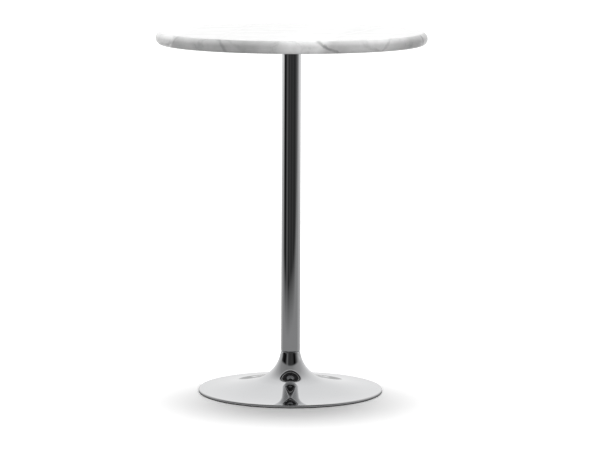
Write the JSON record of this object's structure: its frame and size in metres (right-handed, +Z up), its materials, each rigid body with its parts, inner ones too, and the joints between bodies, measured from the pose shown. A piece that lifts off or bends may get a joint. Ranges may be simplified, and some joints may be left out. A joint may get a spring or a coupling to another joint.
{
  "type": "round pedestal table",
  "caption": "Round marble table on one chrome column, which a tie rod clamps to a weighted trumpet base.",
  "frame": {"origin": "centre of the footprint, on the floor", "axes": "+Z up, along the column; the table is turned about it"},
  "size_m": [0.7599, 0.76, 1.02],
  "materials": {
    "marble": "polished, with soft grey veins",
    "black_board": "black stain, satin",
    "zinc": "zinc plated",
    "chrome": "mirror plated",
    "cast_iron": "black primer on a sand-cast face",
    "black_plate": "satin powder coat",
    "black_rubber": "matte",
    "plain_steel": "oiled, as drawn",
    "nylon": "moulded natural nylon"
  },
  "bodies": {
    "root": {"marble_top": "marble", "backing_board": "black_board", "threaded_inserts": "zinc", "mounting_plate": "zinc", "plate_collar": "zinc", "plate_ribs": "zinc", "rod_boss": "zinc", "plate_screws": "zinc", "plate_washers": "zinc", "column_tube": "chrome", "tie_rod": "zinc", "trumpet_shell": "chrome", "ballast_weight": "cast_iron", "base_plate": "black_plate", "ballast_screws": "zinc", "rim_ring": "black_rubber", "core_tube": "plain_steel", "neck_ring": "plain_steel", "core_cap": "nylon", "clamp_washer": "zinc", "spring_washer": "zinc", "base_nut": "zinc"}
  },
  "joints": []
}
